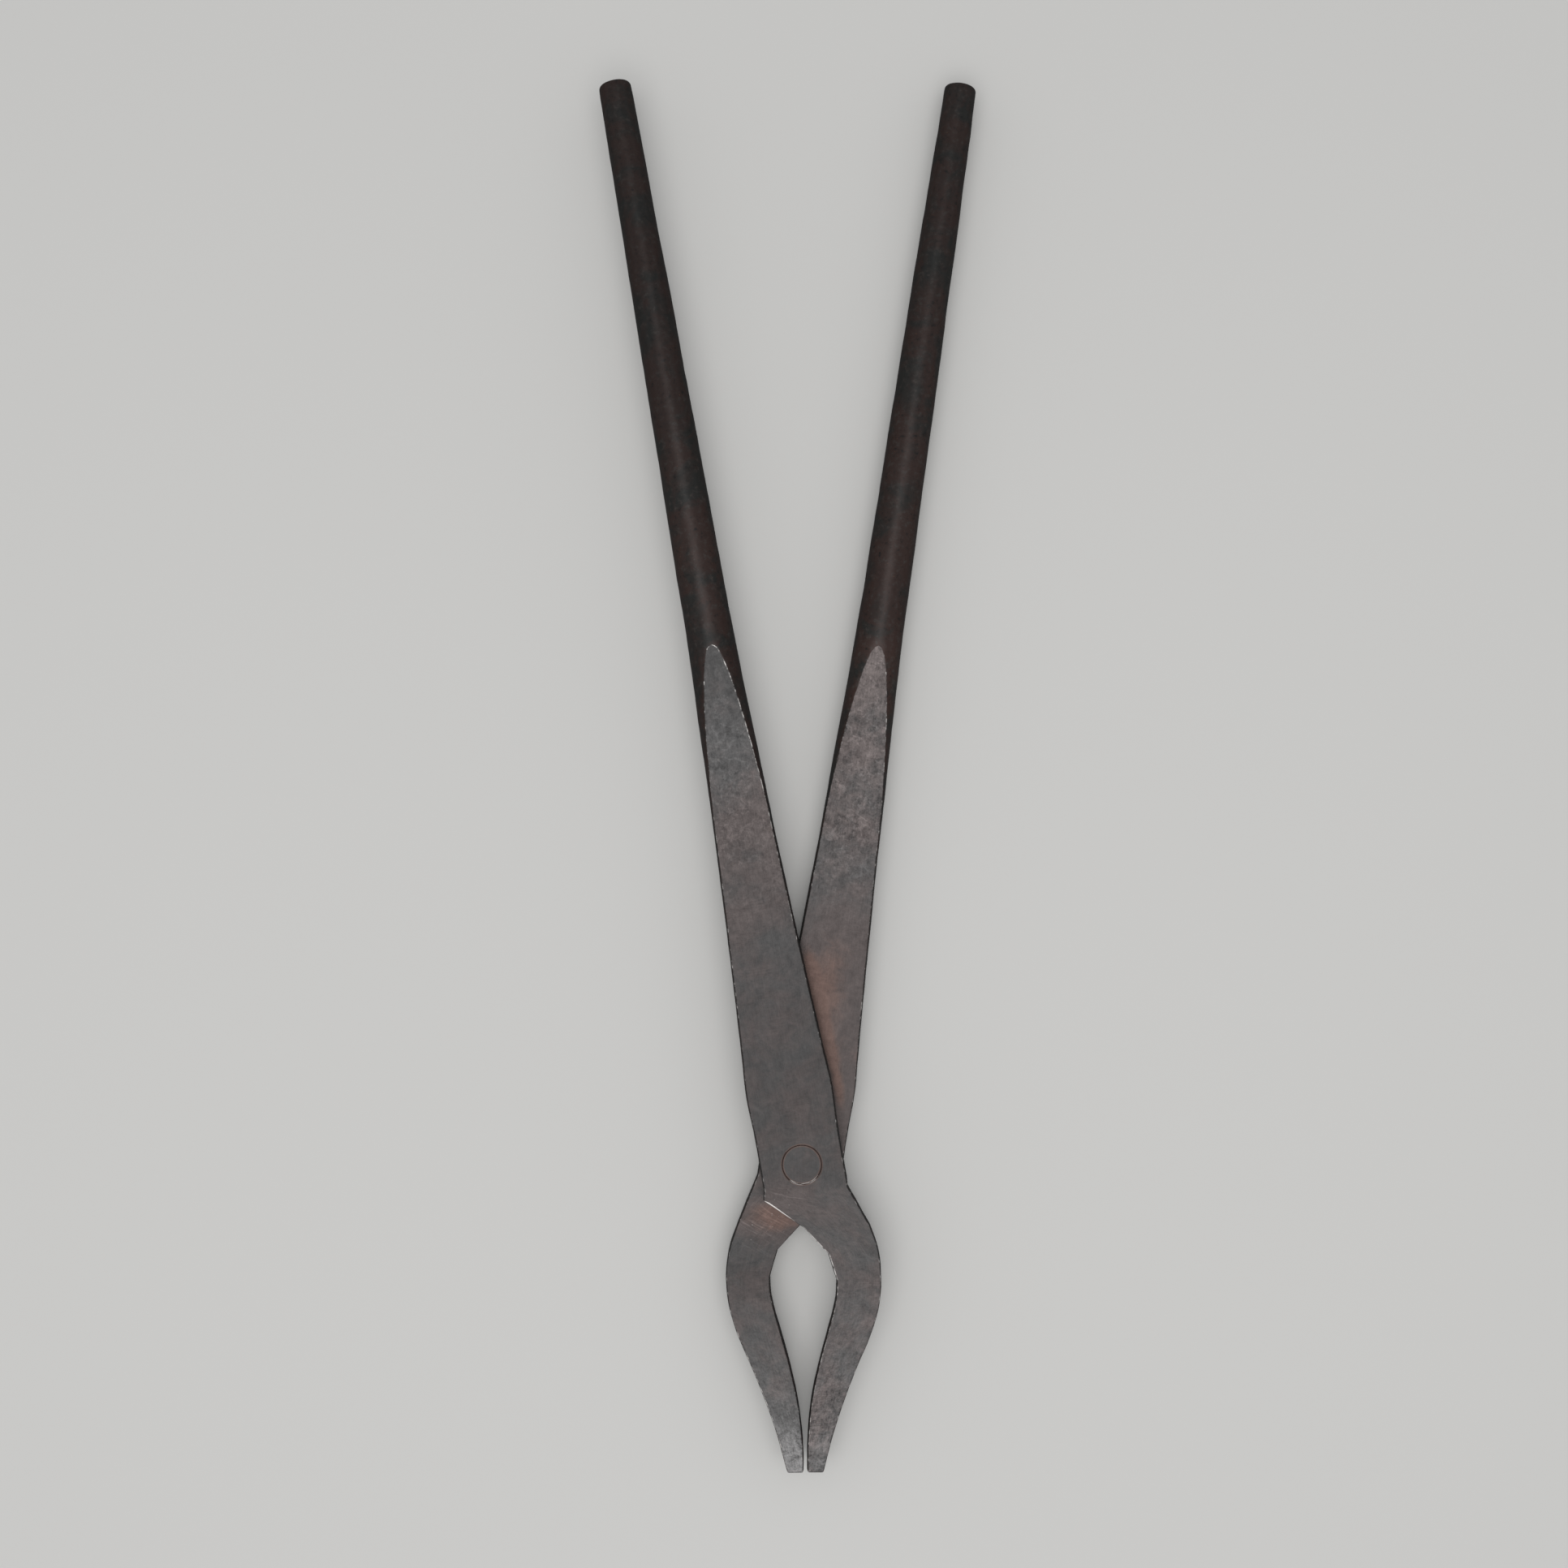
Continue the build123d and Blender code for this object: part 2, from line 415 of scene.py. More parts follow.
class ForgedHalf:
    """One half in the front half's place. Rows of its grid are sections, from the rein's end to the
    tip, and LOOP columns go round each: upper flat, right side, lower flat, left side.
    turned is -1 for the half that is turned over, and its finish and painted light are given as seen in
    place."""

    def __init__(self, seed, turned, neck, arch_step, finish_and_painted_light):
        self.rng = np.random.default_rng(seed)
        self.turned = turned
        self.finish_and_painted_light = finish_and_painted_light
        left, right, path, bar_rows = rails(neck)
        self.rows = len(path)
        self.path = path[:, None]
        self.bar = (np.arange(self.rows) < bar_rows)[:, None]
        self.boss_row = bar_rows - 1 - round(-BOSS_LOWEST_ROW / ROW_STEP)
        self.half = np.linalg.norm(right - left, axis=1)[:, None] / 2
        self.centre = (left + right) / 2
        self.sideways = (right - left) / (2 * self.half)
        self.set_flats(arch_step)
        self.lay_sections()
        self.measure()
        self.open_hole()
        self.roughen()
        self.paint()
        self.start_lists()
        self.join_rows()
        self.close_rein_end()
        self.line_bore()
        self.close_tip()

    def set_flats(self, arch_step):
        """Height of the flats: even on the blade, rising to the arch, and none on the round rein."""
        slope = (REIN_ROOT_R - HALF_PLATE) / (REIN_ROOT - FLATS_PARALLEL)
        past = self.path - FLATS_PARALLEL
        rise = 0.5 * (past + np.sqrt(past**2 + FLATS_BLEND**2))
        dip = FLATS_DIP * np.exp(-((past / FLATS_DIP_LENGTH) ** 2))
        flat = HALF_PLATE + slope * (rise - dip)
        step_share = smooth((STEP_END - self.path) / STEP_FALL)
        step_share = step_share * smooth((self.path - STEP_START) / STEP_RISE)
        flat = np.where(self.bar, flat - arch_step * step_share, HALF_PLATE)
        self.flat = np.where(self.path > ROUND_FROM, NO_FLAT, flat)

    def eased(self, x, z, wear):
        """Rounds the arris by drawing every point in towards the section's middle."""
        reach = np.hypot(x, z)
        to_flat = self.flat * reach / np.maximum(np.abs(z), 1e-6)
        draft = np.where(self.bar, 0.0, SIDE_DRAFT) * np.clip(np.abs(z) / HALF_PLATE, 0, 1) ** 2
        to_wall = (self.half - draft) * reach / np.maximum(np.abs(x), 1e-6)
        to_side = np.where(self.bar, self.half, to_wall)
        nearest = np.minimum(to_flat, to_side)
        wanted = np.where(nearest > 2 * wear, soft_min(to_flat, to_side, wear), nearest)
        return x * wanted / reach, z * wanted / reach

    def spread_top(self):
        """Where the columns of the upper flat lie across every section, and how high."""
        bar, half, flat = self.bar, self.half, self.flat
        self.facet = np.where(bar, np.sqrt(np.clip(half**2 - flat**2, 0, None)), half - SIDE_DRAFT)
        facet_angle = np.where(bar, np.arcsin(np.clip(self.facet / half, 0, 1)), math.pi / 2)
        on_rein = smooth((self.path - REIN_ROOT) / STRIP_CHANGE)
        least_angle = np.radians(ARCH_STRIP + (REIN_STRIP - ARCH_STRIP) * on_rein)
        strip_angle = np.where(bar, np.maximum(facet_angle, least_angle), math.pi / 2)
        strip_end = np.where(bar, half * np.sin(strip_angle), half - SIDE_DRAFT)
        self.end_z = np.where(bar, np.minimum(flat, half * np.cos(strip_angle)), HALF_PLATE)

        band = np.minimum(EDGE_BAND, EDGE_BAND_MOST * strip_end)
        x = np.zeros((self.rows, FLAT_COLUMNS + 1))
        for k, share in enumerate(EDGE_SHARES):
            x[:, k] = (-strip_end + share * band)[:, 0]
            x[:, FLAT_COLUMNS - k] = (strip_end - share * band)[:, 0]
        inner = (strip_end - band) * np.linspace(-1, 1, FLAT_INNER + 1)
        x[:, EDGE_BANDS : EDGE_BANDS + FLAT_INNER + 1] = inner
        self.tip_x = x[-1]
        self.tip_shares = (x[-1] / strip_end[-1] + 1) / 2
        evenly = half * np.sin(strip_angle * x / strip_end)
        flat_share = facet_angle / strip_angle
        x = np.where(bar, x * flat_share + evenly * (1 - flat_share), x)
        z = np.where(bar, np.minimum(flat, np.sqrt(np.clip(half**2 - x**2, 0, None))), HALF_PLATE)
        return x, z

    def spread_side(self):
        """The same for the columns of the right side."""
        z = self.end_z * SIDE_STEPS
        round_side = np.sqrt(np.clip(self.half**2 - z**2, 0, None))
        x = np.where(self.bar, round_side, self.half - SIDE_DRAFT * (z / HALF_PLATE) ** 2)
        return x, z

    def lay_sections(self):
        """The points of every section, with worn arrises, and rounded where the jaw ends."""
        along = np.concatenate([self.path, self.path * 0, self.path * 0], 1)
        wear = WORN_R + WORN_R_VARIES * waves(along, self.rng, 3.0, 30.0)
        wear = np.clip(wear, WORN_R_LEAST, WORN_R_MOST)[:, None]
        top_x, top_z = self.eased(*self.spread_top(), wear)
        right_x, right_z = self.eased(*self.spread_side(), wear)
        round_x = [top_x, right_x[:, 1:-1], top_x[:, ::-1], -right_x[:, -2:0:-1]]
        round_z = [top_z, right_z[:, 1:-1], -top_z[:, ::-1], right_z[:, -2:0:-1]]
        from_tip = np.clip(self.centre[:, 1:] - TIP_Y, 0, TIP_ROUNDING)
        from_tip = np.where(self.bar, TIP_ROUNDING, from_tip)
        inset = TIP_ROUNDING - np.sqrt(TIP_ROUNDING**2 - (TIP_ROUNDING - from_tip) ** 2)
        self.x = np.concatenate(round_x, 1) * (1 - 0.5 * inset / self.half)
        self.z = np.concatenate(round_z, 1) * (1 - inset / HALF_PLATE)
        plan = self.centre[:, None, :] + self.sideways[:, None, :] * self.x[:, :, None]
        across_lap = np.where(self.bar, 0.0, jaw_set(plan[:, :, 1]))
        self.points = np.concatenate([plan, (self.z + across_lap)[:, :, None]], 2)

    def measure(self):
        """How far in from the flat's edge each point is, below 0 off the flat, and where noise is read."""
        top = np.where(self.bar, np.minimum(self.flat, self.half), HALF_PLATE)
        on_flat = np.abs(self.z) > ON_FLAT * self.end_z
        below_flat = np.clip(top - np.abs(self.z), 0, None)
        past_arch = np.clip(self.path - REIN_ROOT - PAST_ARCH, 0, None)
        self.edge = np.where(on_flat, self.facet - np.abs(self.x), OFF_FLAT) - below_flat - past_arch
        self.texture = np.stack([self.x, np.repeat(self.path, LOOP, 1), self.z], 2)

    def open_hole(self):
        """Bends the rows and columns about the rivet out to a circle. join_rows leaves the inside open."""
        xy = self.points[:, :, :2]
        columns = np.arange(LOOP)
        is_top = columns <= FLAT_COLUMNS
        is_bottom = (columns >= under(FLAT_COLUMNS)) & (columns <= under(0))
        across = np.where(is_top, columns, under(columns)) - MIDDLE
        rows_off = np.abs(np.arange(self.rows) - self.boss_row) / HOLE_ROWS
        square = np.maximum(rows_off[:, None], np.abs(across) / HOLE_COLUMNS)
        reach = np.hypot(xy @ ALONG, xy @ ACROSS)
        away = np.clip((square - 1) / (HOLE_REACH - 1), 0, 1)
        for on_face, radius in ((is_top, HEAD_HOLE_R), (is_bottom, LAP_HOLE_R)):
            ring = radius * (1 - away) + HOLE_OUTER_R * away
            scale = np.where(reach > 1e-6, ring / np.maximum(reach, 1e-6), 1.0)
            factor = (1 - smooth(away)) * scale + smooth(away)
            bent = on_face & (square < HOLE_REACH) & (square > 0.999)
            xy = np.where(bent[:, :, None], xy * factor[:, :, None], xy)
        self.points[:, :, :2] = xy
        hole_r = np.where(is_bottom, LAP_HOLE_R, HEAD_HOLE_R)
        self.rim = np.hypot(self.points[:, :, 0], self.points[:, :, 1]) - hole_r
        on_flat = self.bar & (is_top | is_bottom)
        self.texture[:, :, 0] = np.where(on_flat, self.points[:, :, :2] @ ACROSS, self.texture[:, :, 0])

    def roughen(self):
        """Uneven forging, pushed out along the surface."""
        down = np.gradient(self.points, axis=0)
        wrapped = np.concatenate([self.points[:, -1:], self.points, self.points[:, :1]], 1)
        round_about = (wrapped[:, 2:] - wrapped[:, :-2]) / 2
        normal = np.cross(down, round_about)
        self.normal = normal / np.maximum(np.linalg.norm(normal, axis=2, keepdims=True), 1e-9)
        points = self.points.reshape(-1, 3)
        broad = waves(points, self.rng, 14.0, 45.0).reshape(self.rows, LOOP)
        hammered = waves(points, self.rng, 4.0, 11.0, 26).reshape(self.rows, LOOP)
        lap_side = (self.normal[:, :, 2] < -0.5) & (self.path < LAP_END)
        depth = np.where(lap_side, LAP_ROUGHNESS, FLAT_ROUGHNESS)
        depth = depth * np.where(self.path > REIN_ROOT, REIN_ROUGHER, 1.0)
        away_from_rivet = smooth((self.rim - CALM_FROM) / CALM_LENGTH)
        bump = (depth * broad + HAMMER_SHARE * depth * hammered) * away_from_rivet
        self.points = self.points + self.normal * bump[:, :, None]

    def paint(self):
        """What the materials read at each point."""
        x, y = self.points[:, :, 0], self.points[:, :, 1]
        seen = self.normal[:, :, 2] * self.turned > 0  # faces that look up in place
        # The first of these multiplies the colour: painted light and shade along the bar, partly the
        # steel's own tone.
        painted_light_and_tone, brown, rubbed, keen_right, keen_left = (
            follow(self.finish_and_painted_light[key], self.path) + np.zeros_like(x)
            for key in ("painted_light_and_tone", "brown", "rubbed", "keen_right", "keen_left")
        )
        brown += seen * patches(x * self.turned, y, self.finish_and_painted_light["brown_patches"])
        scrape = patches(x * self.turned, y, self.finish_and_painted_light["scrapes"])
        scrape = scrape * (UNSEEN_SCRAPE + (1 - UNSEEN_SCRAPE) * seen)
        if self.turned < 0:
            painted_shadow, stain = self.beside_front_blade(x, y)
            # Painted shadow: the back blade's colour is darkened beside the front half's edge.
            painted_light_and_tone *= 1 - PAINTED_SHADOW_DEPTH * seen * painted_shadow
            brown += STAIN * seen * stain
        self.values = {
            "painted_light_and_tone": painted_light_and_tone,
            "brown": brown,
            "scrape": scrape,
            "rubbed": rubbed,
            "keen": np.where(self.x > 0, keen_right, keen_left),
            "facing": np.clip(np.abs(self.normal[:, :, 2]), 0, 1),
            "edge": self.edge,
            "rim": self.rim,
            "path_x": self.texture[:, :, 0],
            "path_y": self.texture[:, :, 1],
            "path_z": self.texture[:, :, 2],
        }

    def beside_front_blade(self, x, y):
        """How much each point of the back half is in the painted shadow of the front half's edge and in the
        stain, 0 to 1.
        """
        across = -x * ACROSS[0] + y * ACROSS[1]
        along = -x * ALONG[0] + y * ALONG[1]
        gap = across - curve(BAR_HALF_WIDTH, along)
        above_boss = smooth((along - CROSSING_START) / CROSSING_RISE)
        below_fork = smooth((FORK - along) / FORK_FADE)
        painted_shadow = np.exp(-((np.clip(gap, 0, None) / PAINTED_SHADOW_WIDTH) ** 2))
        stain = np.exp(-(((gap - STAIN_MIDDLE) / STAIN_WIDTH) ** 2))
        return above_boss * painted_shadow, above_boss * stain * below_fork

    def start_lists(self):
        """From the grid to lists, which the end caps and the bore can add to."""
        self.verts = list(self.points.reshape(-1, 3))
        self.values = {name: list(grid.reshape(-1)) for name, grid in self.values.items()}
        self.faces = []

    def add(self, point, like, **changed):
        """A new point, with the finish and painted light of another one except for what is given."""
        self.verts.append(np.array(point))
        for name, column in self.values.items():
            column.append(changed.get(name, column[like]))
        return len(self.verts) - 1

    def at(self, row, column):
        return row * LOOP + column % LOOP

    def join_rows(self):
        """The surface all round, without the block of the rivet's hole."""
        for i in range(self.rows - 1):
            beside_rivet = self.boss_row - HOLE_ROWS <= i < self.boss_row + HOLE_ROWS
            for j in range(LOOP):
                in_head = MIDDLE - HOLE_COLUMNS <= j < MIDDLE + HOLE_COLUMNS
                in_lap = under(MIDDLE + HOLE_COLUMNS) <= j < under(MIDDLE - HOLE_COLUMNS)
                if beside_rivet and (in_head or in_lap):
                    continue
                corners = (self.at(i, j), self.at(i + 1, j), self.at(i + 1, j + 1), self.at(i, j + 1))
                self.faces.append(corners)

    def close_rein_end(self):
        """A fan of triangles over the middle of the rein's flat end."""
        out = np.array([*(ALONG * END_RAISED), 0.0])
        hub = self.add(self.points[0].mean(0) + out, self.at(0, 0))
        self.faces += [(hub, self.at(0, j), self.at(0, j + 1)) for j in range(LOOP)]

    def line_bore(self):
        """The countersink and the bore, from the rim in the outer face to the one in the lap face."""
        first, last = self.boss_row - HOLE_ROWS, self.boss_row + HOLE_ROWS
        left, right = MIDDLE - HOLE_COLUMNS, MIDDLE + HOLE_COLUMNS
        cells = [(first, j) for j in range(left, right)]
        cells += [(i, right) for i in range(first, last)]
        cells += [(last, j) for j in range(right, left, -1)]
        cells += [(i, left) for i in range(last, first, -1)]
        rim = [self.at(i, j) for i, j in cells]
        profile = (
            (HEAD_HOLE_R - 0.02, HALF_PLATE - 0.05),
            (HEAD_HOLE_R - 0.03, HALF_PLATE - 0.3),
            (LAP_HOLE_R, HALF_PLATE - COUNTERSINK),
            (LAP_HOLE_R, 0.0),
            (LAP_HOLE_R, -HALF_PLATE + 0.2),
        )
        rings = [rim]
        for radius, height in profile:
            ring = []
            for v in rim:
                outward = self.verts[v][:2] / np.linalg.norm(self.verts[v][:2])
                point = [*(outward * radius), height]
                ring.append(self.add(point, v, rim=height - HALF_PLATE, path_z=height))
            rings.append(ring)
        rings.append([self.at(i, under(j)) for i, j in cells])
        for upper, lower in zip(rings[:-1], rings[1:]):
            for q in range(len(upper)):
                k = (q + 1) % len(upper)
                self.faces.append((upper[q], upper[k], lower[k], lower[q]))

    def close_tip(self):
        """The end face of the jaw, slightly crowned."""
        last = self.rows - 1
        cap = np.zeros((SIDE_COLUMNS + 1, FLAT_COLUMNS + 1), int)
        cap[0] = [self.at(last, j) for j in range(FLAT_COLUMNS + 1)]
        cap[SIDE_COLUMNS] = [self.at(last, under(j)) for j in range(FLAT_COLUMNS + 1)]
        for q in range(1, SIDE_COLUMNS):
            cap[q, FLAT_COLUMNS] = self.at(last, FLAT_COLUMNS + q)
            cap[q, 0] = self.at(last, LOOP - q)
            start, end = self.verts[cap[q, 0]], self.verts[cap[q, FLAT_COLUMNS]]
            for j in range(1, FLAT_COLUMNS):
                share = self.tip_shares[j]
                crown = TIP_CROWN * (1 - (2 * share - 1) ** 4) * (1 - SIDE_STEPS[q] ** 4)
                point = start * (1 - share) + end * share - np.array([0, crown, 0])
                cap[q, j] = self.add(point, cap[q, 0], edge=-1.0, path_x=self.tip_x[j])
        for q in range(SIDE_COLUMNS):
            for j in range(FLAT_COLUMNS):
                corners = (cap[q, j], cap[q + 1, j], cap[q + 1, j + 1], cap[q, j + 1])
                self.faces.append(corners)


# ---------------------------------------------------------------- the three pieces
def make_mesh(name, verts, faces, values):
    """A smooth mesh from points in millimetres, with a number at each point for every name in values."""
    mesh = bpy.data.meshes.new(name)
    mesh.from_pydata((verts * MM).tolist(), [], faces)
    mesh.polygons.foreach_set("use_smooth", [True] * len(mesh.polygons))
    for key, column in values.items():
        attribute = mesh.attributes.new(key, "FLOAT", "POINT")
        attribute.data.foreach_set("value", np.array(column, np.float32))
    mesh.update()
    return mesh


def make_piece(mesh, node, body):
    """The mesh as an object that stands in for a CAD node and moves with a body."""
    piece = bpy.data.objects.new(mesh.name, mesh)
    bpy.context.collection.objects.link(piece)
    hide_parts(node)
    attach(piece, body)
    return piece


def make_front():
    forged = ForgedHalf(11, 1, FRONT_NECK, FRONT_ARCH_STEP, FRONT_FINISH_AND_PAINTED_LIGHT)
    verts = np.array(forged.verts) + np.array([0, 0, rivet_high[2] - HALF_PLATE])
    mesh = make_mesh("front_forging", verts, forged.faces, forged.values)
    return make_piece(mesh, "front_half", "front_lever")


def make_back():
    forged = ForgedHalf(29, -1, BACK_NECK, BACK_ARCH_STEP, BACK_FINISH_AND_PAINTED_LIGHT)
    verts = np.array(forged.verts) + np.array([0, 0, rivet_high[2] - HALF_PLATE])
    turned_over = np.stack([-verts[:, 0], verts[:, 1], 2 * LAP_MIDDLE - verts[:, 2]], 1)
    mesh = make_mesh("back_forging", turned_over, forged.faces, forged.values)
    return make_piece(mesh, "back_half", "back_lever")


RIVET_AROUND = 72  # points round each ring
HEAD_RINGS = 12
HEAD_FIRST_R = 0.3
HEAD_RAISED = 0.04  # above the plate, in the middle
HEAD_DOME = 0.05  # lower at the rim than in the middle
HEAD_DENTS = 0.03


def rivet_profile():
    """Radius and height of the rivet's rings, from the top of the upper head to that of the lower one."""
    top = STACK / 2
    radii = np.linspace(HEAD_FIRST_R, HEAD_R - 0.3, HEAD_RINGS)
    upper = [(r, top + HEAD_RAISED - HEAD_DOME * (r / HEAD_R) ** 2) for r in radii]
    upper += [(HEAD_R - 0.08, top - 0.02), (HEAD_R - 0.01, top - 0.07), (HEAD_R, top - 0.2)]
    upper += [(SHANK_R, top - COUNTERSINK), (SHANK_R, 0.6)]
    return upper + [(r, -z) for r, z in reversed(upper)]


def make_rivet():
    """The rivet, its two heads a little domed and hammered."""
    angle = np.arange(RIVET_AROUND) * 2 * math.pi / RIVET_AROUND
    round_about = np.stack([np.cos(angle), np.sin(angle), np.zeros(RIVET_AROUND)], 1)
    profile = rivet_profile()
    points = np.concatenate([round_about * r + np.array([0, 0, z]) for r, z in profile])
    on_head = np.abs(points[:, 2]) > STACK / 2 - 0.1
    dent = waves(points, np.random.default_rng(5), 2.0, 6.0) * HEAD_DENTS * on_head
    points[:, 2] += dent * np.sign(points[:, 2])
    verts = np.concatenate([points, [[0, 0, points[0, 2]], [0, 0, points[-1, 2]]]])
    upper_hub, lower_hub = len(points), len(points) + 1
    last_row = (len(profile) - 1) * RIVET_AROUND
    faces = []
    for j in range(RIVET_AROUND):
        k = (j + 1) % RIVET_AROUND
        for row in range(0, last_row, RIVET_AROUND):
            below = row + RIVET_AROUND
            faces.append((row + j, below + j, below + k, row + k))
        faces.append((upper_hub, j, k))
        faces.append((lower_hub, last_row + k, last_row + j))
    even = np.ones(len(verts))
    values = {
        "painted_light_and_tone": even * 0.87,
        "brown": even * 0.3,
        "scrape": even * 0.1,
        "rubbed": even * 0.9,
        "keen": even * 0.0,
        "facing": even,
        "edge": even * 3,
        "rim": HEAD_R - np.hypot(verts[:, 0], verts[:, 1]),
        "path_x": verts[:, 0],
        "path_y": verts[:, 1],
        "path_z": verts[:, 2],
    }
    mesh = make_mesh("rivet", verts + np.array([0, 0, LAP_MIDDLE]), faces, values)
    return make_piece(mesh, "pivot_rivet", "back_lever")


front = make_front()
back = make_back()
rivet = make_rivet()

# ---------------------------------------------------------------- materials
COOL_STEEL = (0.0720, 0.0700, 0.0695)
WARM_STEEL = (0.0832, 0.0708, 0.0685)
COPPER_STEEL = (0.1190, 0.0800, 0.0690)
BRIGHT_STEEL = (0.56, 0.53, 0.51)
SCALE_GREEN = (0.0132, 0.0133, 0.0122)
SCALE_BROWN = (0.0275, 0.0142, 0.0114)
SCALE_LIGHT = (0.0370, 0.0300, 0.0270)
SCALE_BLACK = (0.0060, 0.0048, 0.0044)
RUST = (0.1000, 0.0420, 0.0200)
SEED_STEP = 531.7  # each material reads its noise this far from the next one's
SCRATCH_HEADING = (0.90, 0.44)
# the noise of the grain, of the marks across it and of the scratches is slowed down along one way
GRAIN_STRETCH = 0.05
CROSS_STRETCH = 0.07
SCRATCH_STRETCH = 0.06


class Graph:
    """Short names for the shader nodes that the materials use."""

    def __init__(self, name):
        self.material = bpy.data.materials.new(name)
        self.material.use_nodes = True
        self.tree = self.material.node_tree
        self.tree.nodes.clear()

    def node(self, kind, **settings):
        made = self.tree.nodes.new(kind)
        for key, value in settings.items():
            setattr(made, key, value)
        return made

    def put(self, socket, value):
        if isinstance(value, bpy.types.NodeSocket):
            self.tree.links.new(value, socket)
        else:
            socket.default_value = value

    def math(self, operation, *values):
        made = self.node("ShaderNodeMath", operation=operation)
        for socket, value in zip(made.inputs, values):
            self.put(socket, value)
        return made.outputs[0]

    def plus(self, first, *others):
        for other in others:
            first = self.math("ADD", first, other)
        return first

    def minus(self, a, b):
        return self.math("SUBTRACT", a, b)

    def times(self, first, *others):
        for other in others:
            first = self.math("MULTIPLY", first, other)
        return first

    def value(self, name):
        return self.node("ShaderNodeAttribute", attribute_name=name).outputs["Fac"]

    def vector(self, x, y, z):
        made = self.node("ShaderNodeCombineXYZ")
        for socket, value in zip(made.inputs, (x, y, z)):
            self.put(socket, value)
        return made.outputs[0]

    def noise(self, vector, scale, detail=4.0, roughness=0.55, distortion=0.0):
        made = self.node("ShaderNodeTexNoise")
        self.put(made.inputs["Vector"], vector)
        made.inputs["Scale"].default_value = scale
        made.inputs["Detail"].default_value = detail
        made.inputs["Roughness"].default_value = roughness
        made.inputs["Distortion"].default_value = distortion
        return made.outputs["Fac"]

    def centred(self, noise, amount):
        """The noise about nought, the given amount high."""
        return self.times(self.minus(noise, 0.5), amount)

    def between(self, value, low, high):
        """0 at low and 1 at high, smooth between. low may be the larger."""
        made = self.node("ShaderNodeMapRange", interpolation_type="SMOOTHSTEP")
        self.put(made.inputs["Value"], value)
        rising = low <= high
        made.inputs["From Min"].default_value = min(low, high)
        made.inputs["From Max"].default_value = max(low, high)
        made.inputs["To Min"].default_value = 0.0 if rising else 1.0
        made.inputs["To Max"].default_value = 1.0 if rising else 0.0
        return made.outputs["Result"]

    def mix(self, share, a, b, blend="MIX"):
        """A mix of two colours."""
        made = self.node("ShaderNodeMix", data_type="RGBA", blend_type=blend)
        self.put(made.inputs[0], share)
        for socket, value in ((made.inputs[6], a), (made.inputs[7], b)):
            self.put(socket, (*value, 1.0) if isinstance(value, tuple) else value)
        return made.outputs[2]

    def shaded(self, colour, shade):
        """A colour made lighter or darker."""
        return self.mix(1.0, colour, self.vector(shade, shade, shade), "MULTIPLY")

    def blend(self, share, a, b):
        """A mix of two numbers."""
        made = self.node("ShaderNodeMix", data_type="FLOAT")
        for socket, value in ((made.inputs[0], share), (made.inputs[2], a), (made.inputs[3], b)):
            self.put(socket, value)
        return made.outputs[0]


def steel_colour(g, here):
    """Cool to brown in soft patches, and copper where the stains are strong. Returns the clouds too."""
    broad = g.noise(here, 0.07, detail=4, roughness=0.55, distortion=0.5)
    cloud = g.noise(here, 0.22, detail=5, roughness=0.6, distortion=1.2)
    brown = g.plus(g.value("brown"), g.centred(broad, 2.0), g.centred(cloud, 1.0))
    steel = g.mix(g.between(brown, 0.0, 0.9), COOL_STEEL, WARM_STEEL)
    return g.mix(g.between(brown, 1.0, 2.4), steel, COPPER_STEEL), cloud


def wisps(g, here, mottle):
    """Thin pale curls, only on the upper half of the blade."""
    field = g.noise(here, 0.15, detail=6, roughness=0.6, distortion=0.7)
    line = g.between(g.math("ABSOLUTE", g.minus(field, 0.5)), 0.05, 0.0)
    place = g.between(g.value("path_y"), 52, 95)
    return g.times(line, g.times(place, g.between(mottle, 0.40, 0.62)))


def ground_steel(g, x, y, z, turned):
    """The flats: clouded, grained along the bar and scratched. Returns colour, roughness and height."""
    here = g.vector(x, y, z)
    lengthwise = g.vector(x, g.times(y, GRAIN_STRETCH), z)
    crosswise = g.vector(g.times(x, CROSS_STRETCH), y, z)
    slant_x, slant_y = SCRATCH_HEADING
    slanted_x = g.plus(g.times(x, slant_x), g.times(y, -slant_y * turned))
    slanted_y = g.plus(g.times(x, slant_y * turned), g.times(y, slant_x))
    slanted = g.vector(g.times(slanted_x, SCRATCH_STRETCH), slanted_y, z)

    steel, cloud = steel_colour(g, here)
    leather = g.noise(here, 1.7, detail=4, roughness=0.62, distortion=0.6)
    grain = g.noise(lengthwise, 3.0, detail=4, roughness=0.72)
    mottle = g.noise(here, 0.8, detail=7, roughness=0.78)
    cross_place = g.between(g.noise(here, 0.07, detail=2), 0.54, 0.64)
    cross = g.times(g.centred(g.noise(crosswise, 2.3, detail=3, roughness=0.65), 0.45), cross_place)
    streak = g.between(g.noise(lengthwise, 4.2, detail=2, roughness=0.5), 0.66, 0.78)
    texture = g.plus(
        g.centred(grain, 0.42),
        g.centred(leather, 0.72),
        g.centred(cloud, 0.62),
        g.centred(mottle, 0.62),
        cross,
        g.times(wisps(g, here, mottle), 0.22),
        g.times(streak, 0.14),
    )
    scratch = g.between(g.noise(slanted, 1.9, detail=3, roughness=0.62), 0.50, 0.72)
    scratch = g.times(scratch, g.value("scrape"))
    shade = g.plus(0.98, g.times(texture, g.value("rubbed")), g.times(scratch, 0.46))
    # The colour is multiplied by painted light and shade along the bar as well as by the texture.
    colour = g.shaded(steel, g.times(shade, g.value("painted_light_and_tone")))
    roughness = g.plus(0.38, g.times(leather, 0.24))
    height = g.plus(g.centred(leather, 0.028), g.centred(grain, 0.016))
    return colour, roughness, g.minus(height, g.times(scratch, 0.012))


